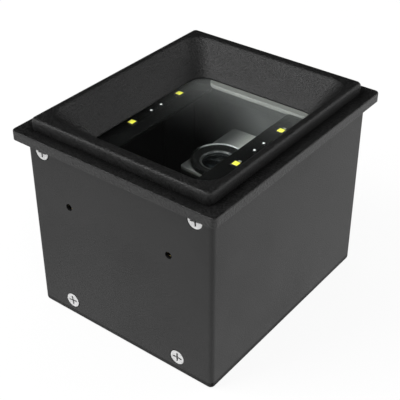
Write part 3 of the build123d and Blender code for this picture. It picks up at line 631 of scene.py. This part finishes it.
def extrudeDown(depth):
    bpy.ops.mesh.extrude_region_move(TRANSFORM_OT_translate={"value": (0, 0, -depth)})


# A sunk top with a wall left round it.
def sinkTop(piece, wall, depth):
    selectFaces(piece, lambda face: face.normal[2] > modelling["facing"] and face.center[2] > 0)
    bpy.ops.mesh.inset(thickness=wall)
    extrudeDown(depth)
    bpy.ops.object.mode_set(mode="OBJECT")


def finishPiece(piece, material):
    onlyThis(piece)
    bpy.ops.object.shade_smooth_by_angle(angle=modelling["smoothAngle"])
    piece.data.materials.clear()
    piece.data.materials.append(materials[material])
    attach(piece, "root")
    return piece


def copyPiece(piece, name, matrix):
    twin = piece.copy()
    twin.data = piece.data.copy()
    twin.name = twin.data.name = name
    scene.collection.objects.link(twin)
    twin.data.transform(matrix)
    return twin


def joinPieces(pieces, name):
    startPiece()
    for piece in pieces:
        piece.select_set(True)
    bpy.context.view_layer.objects.active = pieces[0]
    bpy.ops.object.join()
    return namePiece(name)


# Countersunk screws with a cross recess

screwShape = {
    "headRadius": 2.2 * mm, "shankRadius": 1.25 * mm, "rim": 0.12 * mm, "sides": 64,
    "cross": 3.3 * mm, "arm": 0.52 * mm, "depth": 1.0 * mm, "taper": 0.7, "softEdge": 0.05 * mm,
}


def downFaces(face):
    return face.normal[2] < -modelling["facing"]


def crossCutter():
    shape = screwShape
    startPiece()
    bpy.ops.mesh.primitive_cube_add(size=shape["arm"], location=(0, 0, 0))
    cutter = namePiece("crossCutter")
    # Each arm grows from the middle block alone.
    for axis in (0, 1):
        for side in (-1, 1):
            selectFaces(cutter, lambda face: face.normal[axis] * side > modelling["facing"]
                        and abs(face.center[axis]) < shape["arm"]
                        and abs(face.center[1 - axis]) < shape["arm"] / 4)
            move = [0, 0, 0]
            move[axis] = side * (shape["cross"] - shape["arm"]) / 2
            bpy.ops.mesh.extrude_region_move(TRANSFORM_OT_translate={"value": move})
            bpy.ops.object.mode_set(mode="OBJECT")
    # The lower half narrows towards the tip.
    selectFaces(cutter, downFaces)
    bpy.ops.transform.translate(value=(0, 0, shape["arm"] / 2 - shape["depth"]))
    bpy.ops.transform.resize(value=(shape["taper"], shape["taper"], 1), center_override=(0, 0, 0))
    bpy.ops.object.mode_set(mode="OBJECT")
    return cutter


def screwBody(length):
    shape = screwShape
    screw = addRound("screw", shape["headRadius"], shape["rim"], shape["sides"], base=-shape["rim"])
    cone = shape["headRadius"] - shape["shankRadius"] - shape["rim"]
    selectFaces(screw, downFaces)
    extrudeDown(cone)
    narrow = shape["shankRadius"] / shape["headRadius"]
    bpy.ops.transform.resize(value=(narrow, narrow, 1), center_override=(0, 0, -shape["rim"] - cone))
    extrudeDown(length - shape["rim"] - cone)
    bpy.ops.object.mode_set(mode="OBJECT")
    cutter = crossCutter()
    applyModifier(screw, "BOOLEAN", operation="DIFFERENCE", object=cutter, solver="EXACT")
    bpy.data.objects.remove(cutter)
    softenEdges(screw, shape["softEdge"])
    return screw


def endScrews(node, name, length, turns):
    low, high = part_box(node)
    spread = (high.x - low.x) / 2 - screwShape["headRadius"]
    level = (low.z + high.z) / 2
    screw = screwBody(length)
    made = []
    for end in (-1, 1):
        for side in (-1, 1):
            outward = Matrix.Rotation(math.radians(-90 * end), 4, "X")
            place = Matrix.Translation((side * spread, high.y * end, level))
            turn = Matrix.Rotation(math.radians(turns[(end, side)]), 4, "Z")
            made.append(copyPiece(screw, "screwCopy", place @ outward @ turn))
    bpy.data.objects.remove(screw)
    piece = joinPieces(made, name)
    finishPiece(piece, "screw_steel")
    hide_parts(node)


# Each cross is turned by its own angle, keyed by end (front -1) and side (left -1).
endScrews("bezel_screws", "bezelEndScrews", 7 * mm, {(-1, -1): 2, (-1, 1): 8, (1, -1): 35, (1, 1): -20})
endScrews("tray_screws", "trayEndScrews", 6 * mm, {(-1, -1): 8, (-1, 1): 0, (1, -1): 12, (1, 1): 40})
print("end screws made")


# The middles of a node's four pieces, which stand in two columns and two rows.
def fourPlaces(node, width, length):
    low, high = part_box(node)
    return [Vector((x, y, low.z)) for x in (low.x + width / 2, high.x - width / 2)
            for y in (low.y + length / 2, high.y - length / 2)]


def placeCopies(piece, places, name, material):
    made = [copyPiece(piece, name + "Copy", Matrix.Translation(place)) for place in places]
    bpy.data.objects.remove(piece)
    return finishPiece(joinPieces(made, name), material)


def softBlock(name, size, base, soft):
    startPiece()
    bpy.ops.mesh.primitive_cube_add(size=1, scale=size, location=(0, 0, base + size[2] / 2))
    block = namePiece(name)
    applyModifier(block, "BEVEL", width=soft, segments=3, limit_method="NONE")
    return block


# Light packages: a dark cup with a yellow filling, and a pale resistor behind the right-hand ones

lightShape = {
    "place": (2.3 * mm, 2.8 * mm), "cup": (2.3 * mm, 2.4 * mm, 0.5 * mm), "wall": 0.24 * mm,
    "cupDepth": 0.3 * mm, "filling": (1.82 * mm, 1.92 * mm, 0.34 * mm), "fillingBase": 0.14 * mm,
    "softCup": 0.03 * mm, "softFilling": 0.08 * mm,
    "resistor": (0.9 * mm, 0.5 * mm, 0.3 * mm), "behind": 1.75 * mm, "softResistor": 0.05 * mm,
}


def makeLights():
    shape = lightShape
    places = fourPlaces("led_bodies", *shape["place"])
    startPiece()
    bpy.ops.mesh.primitive_cube_add(size=1, scale=shape["cup"], location=(0, 0, shape["cup"][2] / 2))
    cup = namePiece("lightCup")
    sinkTop(cup, shape["wall"], shape["cupDepth"])
    softenEdges(cup, shape["softCup"])
    cups = placeCopies(cup, places, "lightCups", "chip_black")
    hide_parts("led_bodies")
    filling = softBlock("lightFilling", shape["filling"], shape["fillingBase"], shape["softFilling"])
    fillings = placeCopies(filling, places, "lightFillings", "led_yellow")
    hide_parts("led_phosphors")
    resistor = softBlock("resistor", shape["resistor"], 0, shape["softResistor"])
    behind = [place + Vector((0, shape["behind"], 0)) for place in places if place.x > 0]
    placeCopies(resistor, behind, "lightResistors", "connector_plastic")


# Sensors between the lights: a dark collar with a small white dome, which glows faintly as a painted
# highlight

sensorShape = {
    "place": 1.2 * mm, "collar": 0.6 * mm, "height": 0.4 * mm, "wall": 0.2 * mm, "sink": 0.12 * mm,
    "dome": 0.38 * mm, "domeHeight": 0.56 * mm, "domeRound": 0.24 * mm, "domeSteps": 5,
    "sides": 32, "softEdge": 0.04 * mm,
}


def makeSensors():
    shape = sensorShape
    places = fourPlaces("object_sensors", shape["place"], shape["place"])
    collar = addRound("sensorCollar", shape["collar"], shape["height"], shape["sides"])
    sinkTop(collar, shape["wall"], shape["sink"])
    softenEdges(collar, shape["softEdge"])
    collars = placeCopies(collar, places, "sensorCollars", "chip_black")
    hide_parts("object_sensors")
    dome = addRound("sensorDome", shape["dome"], shape["domeHeight"], shape["sides"])
    applyModifier(dome, "BEVEL", width=shape["domeRound"], segments=shape["domeSteps"],
                  limit_method="ANGLE", angle_limit=modelling["edgeAngle"])
    placeCopies(dome, places, "sensorDomes", "dome_white")


# Rings of the lens, turned from a section given as radius and height

lensShape = {
    "ring": ((5.45, 36.7), (5.45, 38.2), (5.2, 38.2), (4.85, 37.85), (4.85, 36.7)),
    "rim": ((8.01, 38.3), (8.25, 38.3), (8.25, 38.95), (7.8, 38.66), (8.01, 38.66)),
    "steps": 96, "merge": 0.001 * mm,
}


def turnedRing(name, section, middle):
    startPiece()
    bpy.ops.mesh.primitive_circle_add(vertices=len(section), radius=mm)
    ring = namePiece(name)
    for corner, (radius, height) in enumerate(section):
        bpy.ops.object.mode_set(mode="EDIT")
        bpy.ops.mesh.select_mode(type="VERT")
        bpy.ops.mesh.select_all(action="DESELECT")
        bpy.ops.object.mode_set(mode="OBJECT")
        point = ring.data.vertices[corner]
        point.select = True
        goal = Vector((middle.x + radius * mm, middle.y, height * mm))
        move = goal - point.co
        bpy.ops.object.mode_set(mode="EDIT")
        bpy.ops.transform.translate(value=move)
        bpy.ops.object.mode_set(mode="OBJECT")
    bpy.ops.object.mode_set(mode="EDIT")
    bpy.ops.mesh.select_all(action="SELECT")
    bpy.ops.mesh.spin(steps=lensShape["steps"], angle=2 * math.pi, center=(middle.x, middle.y, 0),
                      axis=(0, 0, 1))
    bpy.ops.mesh.select_all(action="SELECT")
    bpy.ops.mesh.remove_doubles(threshold=lensShape["merge"])
    bpy.ops.mesh.normals_make_consistent(inside=False)
    bpy.ops.object.mode_set(mode="OBJECT")
    return ring


def makeLensRings():
    low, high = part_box("lens_ring")
    middle = (low + high) / 2
    ring = finishPiece(turnedRing("lensRing", lensShape["ring"], middle), "ring_grey")
    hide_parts("lens_ring")
    # The rim carries a painted highlight on its far side.
    finishPiece(turnedRing("lensRim", lensShape["rim"], middle), "rim_painted_highlight")


makeLights()
makeSensors()
makeLensRings()
print("lights, sensors and lens rings made")


# Camera, from the photograph's fitted view

view = {
    "focal": 935.368, "picture": 400, "azimuth": 37.742, "elevation": 34.033, "roll": -0.212,
    "distance": 274.455, "aside": -1.021, "above": 3.539, "level": 28.0, "middle": (198.096, 191.021),
    "sensor": 36, "nearest": 0.01, "farthest": 100,
}


def makeCamera():
    azimuth, elevation, roll = (math.radians(view[name]) for name in ("azimuth", "elevation", "roll"))
    back = Vector((math.sin(azimuth) * math.cos(elevation), -math.cos(azimuth) * math.cos(elevation),
                   math.sin(elevation)))
    right = Vector((math.cos(azimuth), math.sin(azimuth), 0))
    up = back.cross(right)
    right, up = (math.cos(roll) * right + math.sin(roll) * up,
                 math.cos(roll) * up - math.sin(roll) * right)
    target = view["aside"] * right + view["above"] * up + Vector((0, 0, view["level"]))
    eye = target + back * view["distance"]
    data = bpy.data.cameras.new("photoCamera")
    data.sensor_width = view["sensor"]
    data.lens = view["focal"] * data.sensor_width / view["picture"]
    data.shift_x = (view["picture"] / 2 - view["middle"][0]) / view["picture"]
    data.shift_y = (view["middle"][1] - view["picture"] / 2) / view["picture"]
    data.clip_start, data.clip_end = view["nearest"], view["farthest"]
    camera = bpy.data.objects.new("photoCamera", data)
    scene.collection.objects.link(camera)
    turn = Matrix((right, up, back)).transposed().to_4x4()
    camera.matrix_world = Matrix.Translation(eye * mm) @ turn
    scene.camera = camera


makeCamera()


# Studio: pale floor, soft lamps and surroundings

studio = {
    "floorSize": 30.0, "floorColour": 0.98, "floorColour2": 0.9702, "floorGrain": 0.002,
    "floorPatch": 0.3, "floorGlow": 0.9, "dark": 0.012, "fill": 0.5, "lampsAbove": 0.04,
}


# What the camera sees, directly, mirrored or through glass.
def cameraLike(tree):
    path = addNode(tree, "ShaderNodeLightPath").outputs
    both = mathNode(tree, "MAXIMUM", path["Is Camera Ray"], path["Is Glossy Ray"])
    return mathNode(tree, "MAXIMUM", both, path["Is Transmission Ray"])


def makeFloor():
    startPiece()
    bpy.ops.mesh.primitive_plane_add(size=studio["floorSize"], location=(0, 0, 0))
    floor = namePiece("floorSheet")
    material, tree, shader, output = newMaterial("floorSheet")
    tree.nodes.remove(shader)
    paint = addNode(tree, "ShaderNodeBsdfDiffuse")
    grain = placeGroup(tree, "grain", Size=studio["floorGrain"], Patch=studio["floorPatch"])
    feed(tree, mixColours(tree, grain["Tone"], colourOf(studio["floorColour"]),
                          colourOf(studio["floorColour2"])), paint.inputs["Color"])
    glow = addNode(tree, "ShaderNodeEmission")
    glow.inputs["Strength"].default_value = 1.0
    mix = addNode(tree, "ShaderNodeMixShader")
    feed(tree, mathNode(tree, "MULTIPLY", cameraLike(tree), studio["floorGlow"]), mix.inputs[0])
    feed(tree, paint.outputs[0], mix.inputs[1])
    feed(tree, glow.outputs[0], mix.inputs[2])
    feed(tree, mix.outputs[0], output.inputs["Surface"])
    floor.data.materials.append(material)


# The room is white to the camera and dark in reflections, apart from its soft lamps.
def makeWorld():
    world = bpy.data.worlds.new("studioRoom")
    scene.world = world
    world.use_nodes = True
    tree = world.node_tree
    background = tree.nodes["Background"]
    path = addNode(tree, "ShaderNodeLightPath").outputs
    soft = mixColours(tree, path["Is Diffuse Ray"], colourOf(studio["dark"]), colourOf(studio["fill"]))
    feed(tree, mixColours(tree, path["Is Camera Ray"], soft, colourOf(1.0)), background.inputs["Color"])


lamps = {
    "frontLamp": {"from": (-0.50, -0.55, 0.67), "distance": 0.75, "size": (0.55, 0.45), "power": 4.7},
    "backLamp": {"from": (0.58, 0.66, 0.46), "distance": 0.9, "size": (0.6, 0.5), "power": 2.5},
    "nearLamp": {"from": (0.56, -0.41, 0.70), "distance": 0.9, "size": (0.2, 0.2), "power": 1.0},
}


def makeLamps():
    for name, lamp in lamps.items():
        data = bpy.data.lights.new(name, "AREA")
        data.shape = "RECTANGLE"
        data.size, data.size_y = lamp["size"]
        data.energy = lamp["power"]
        light = bpy.data.objects.new(name, data)
        scene.collection.objects.link(light)
        toward = Vector(lamp["from"]).normalized()
        light.location = toward * lamp["distance"] + Vector((0, 0, studio["lampsAbove"]))
        light.rotation_mode = "QUATERNION"
        light.rotation_quaternion = toward.to_track_quat("Z", "Y")


makeFloor()
makeWorld()
makeLamps()
scene.view_settings.view_transform = "Standard"
print("studio made")
